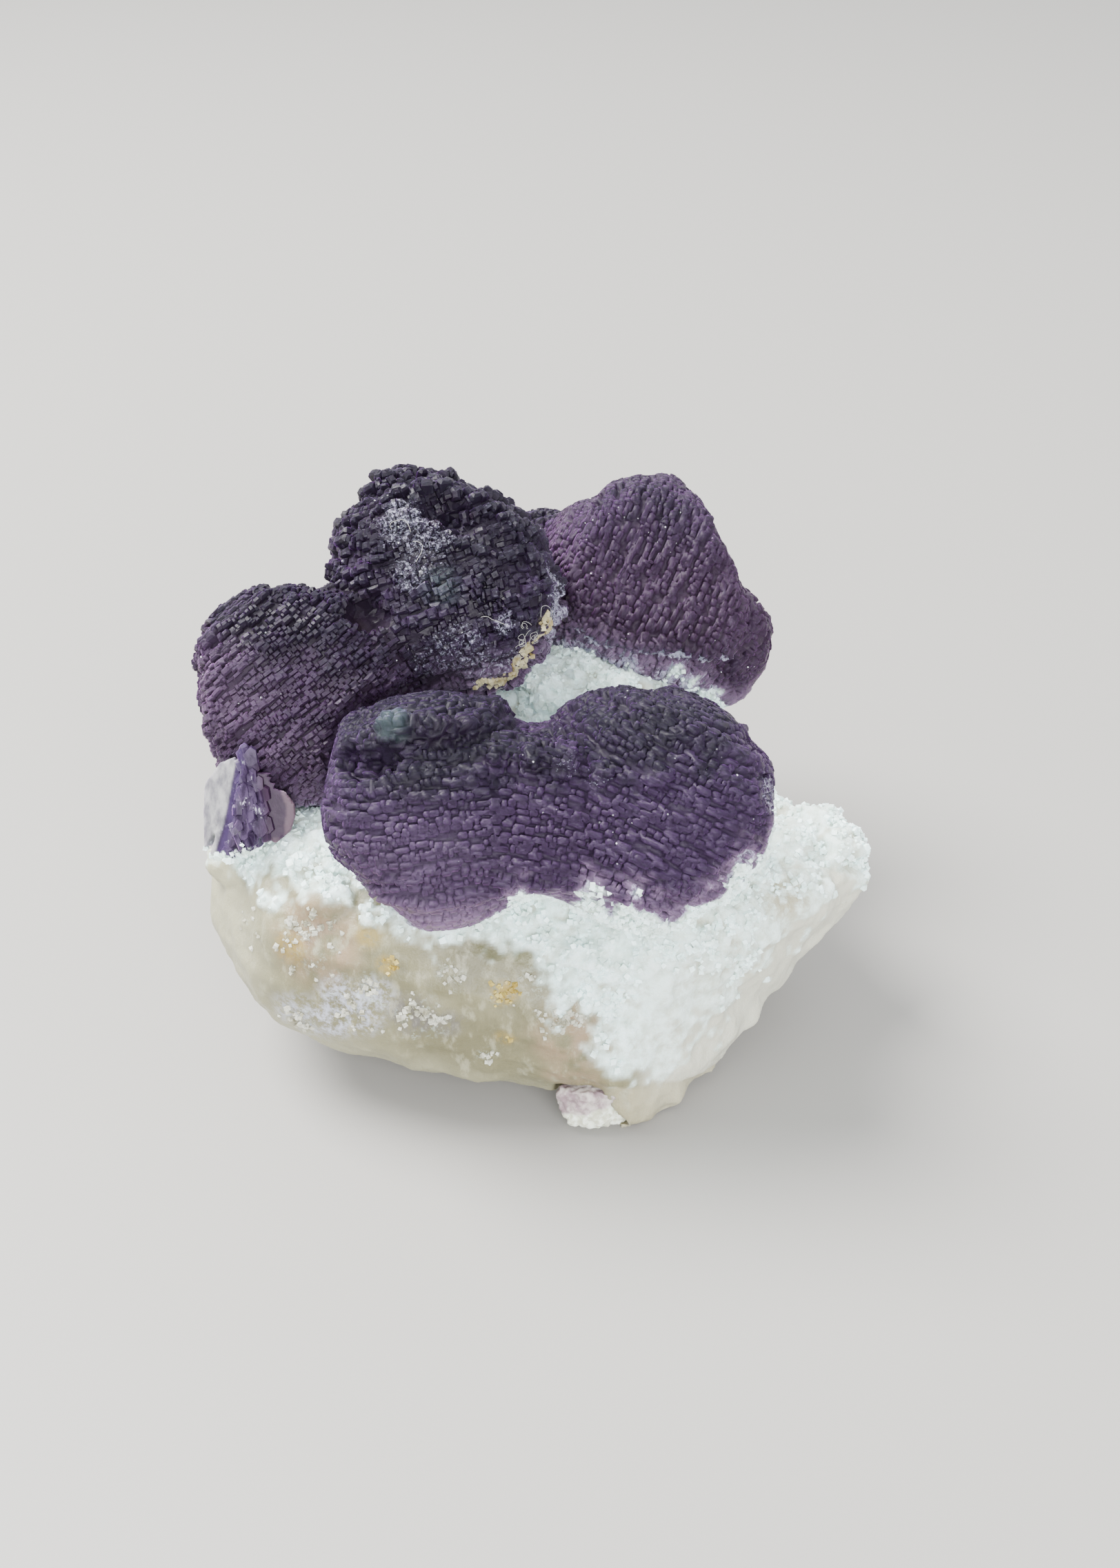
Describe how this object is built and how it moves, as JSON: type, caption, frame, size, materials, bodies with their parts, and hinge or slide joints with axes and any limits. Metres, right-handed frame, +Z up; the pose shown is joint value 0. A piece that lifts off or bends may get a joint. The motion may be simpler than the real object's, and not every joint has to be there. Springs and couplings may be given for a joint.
{
  "type": "fluorite specimen",
  "caption": "Mineral specimen: stepped purple fluorite balls intergrown on a lump of white sugary and milky quartz that rests on its flat foot.",
  "frame": {"origin": "middle of the specimen's footprint, on the surface that it rests on", "axes": "+Z up; the front with the double ball faces -Y; the thin ledge of quartz points to +X"},
  "size_m": [0.0446, 0.0422, 0.0361],
  "materials": {
    "quartz": "sugary and milky",
    "fluorite": "stepped, satin",
    "broken_fluorite": "cleaved, glassy",
    "pale_fluorite": "frosted"
  },
  "bodies": {
    "root": {"quartz_matrix": "quartz", "fluorite_front_pair": "fluorite", "fluorite_left_cluster": "fluorite", "fluorite_right_cluster": "fluorite", "fluorite_broken_crystal": "broken_fluorite", "fluorite_base_chip": "pale_fluorite"}
  },
  "joints": []
}
